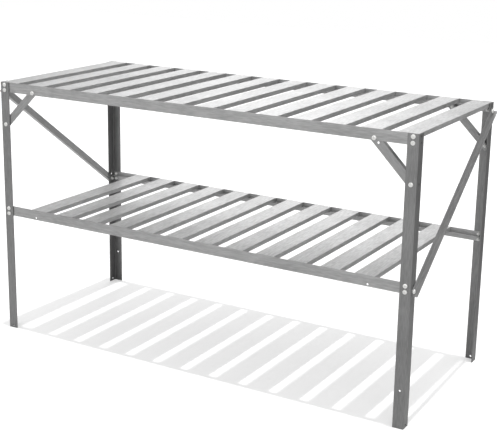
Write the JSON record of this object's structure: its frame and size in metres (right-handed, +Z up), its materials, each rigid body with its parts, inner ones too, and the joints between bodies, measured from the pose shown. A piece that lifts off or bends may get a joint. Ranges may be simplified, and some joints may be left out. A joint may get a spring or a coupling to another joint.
{
  "type": "greenhouse staging",
  "caption": "Freestanding two-tier slatted bench of bolted aluminium angle, with corner braces and a diagonal at each end.",
  "frame": {"origin": "on the floor, under the middle of the bench", "axes": "+X along the bench to the right seen from the front, +Y from the front to the rear, +Z up"},
  "size_m": [1.2446, 0.5066, 0.71],
  "materials": {
    "leg_angle": "mill finish extrusion",
    "shelf_rail": "mill finish extrusion",
    "slat": "mill finish rolled",
    "brace_bar": "mill finish extrusion",
    "fastener": "bright"
  },
  "bodies": {
    "root": {"leg_front_right": "leg_angle", "leg_rear_right": "leg_angle", "leg_rear_left": "leg_angle", "leg_front_left": "leg_angle", "rail_top_front": "shelf_rail", "rail_top_rear": "shelf_rail", "rail_lower_front": "shelf_rail", "rail_lower_rear": "shelf_rail", "slat_top_01": "slat", "slat_top_02": "slat", "slat_top_03": "slat", "slat_top_04": "slat", "slat_top_05": "slat", "slat_top_06": "slat", "slat_top_07": "slat", "slat_top_08": "slat", "slat_top_09": "slat", "slat_top_10": "slat", "slat_top_11": "slat", "slat_top_12": "slat", "slat_top_13": "slat", "slat_top_14": "slat", "slat_lower_02": "slat", "slat_lower_03": "slat", "slat_lower_04": "slat", "slat_lower_05": "slat", "slat_lower_06": "slat", "slat_lower_07": "slat", "slat_lower_08": "slat", "slat_lower_09": "slat", "slat_lower_10": "slat", "slat_lower_11": "slat", "slat_lower_12": "slat", "slat_lower_13": "slat", "corner_brace_front_right": "brace_bar", "corner_brace_rear_right": "brace_bar", "corner_brace_rear_left": "brace_bar", "corner_brace_front_left": "brace_bar", "end_diagonal_right": "brace_bar", "end_diagonal_left": "brace_bar", "rail_bolt_top_front_left_1": "fastener", "rail_bolt_top_front_left_2": "fastener", "rail_bolt_top_front_right_1": "fastener", "rail_bolt_top_front_right_2": "fastener", "rail_bolt_lower_front_left_1": "fastener", "rail_bolt_lower_front_left_2": "fastener", "rail_bolt_lower_front_right_1": "fastener", "rail_bolt_lower_front_right_2": "fastener", "rail_bolt_top_rear_left_1": "fastener", "rail_bolt_top_rear_left_2": "fastener", "rail_bolt_top_rear_right_1": "fastener", "rail_bolt_top_rear_right_2": "fastener", "rail_bolt_lower_rear_left_1": "fastener", "rail_bolt_lower_rear_left_2": "fastener", "rail_bolt_lower_rear_right_1": "fastener", "rail_bolt_lower_rear_right_2": "fastener", "diagonal_bolt_right_low": "fastener", "diagonal_bolt_right_high": "fastener", "diagonal_bolt_left_low": "fastener", "diagonal_bolt_left_high": "fastener"}
  },
  "joints": []
}
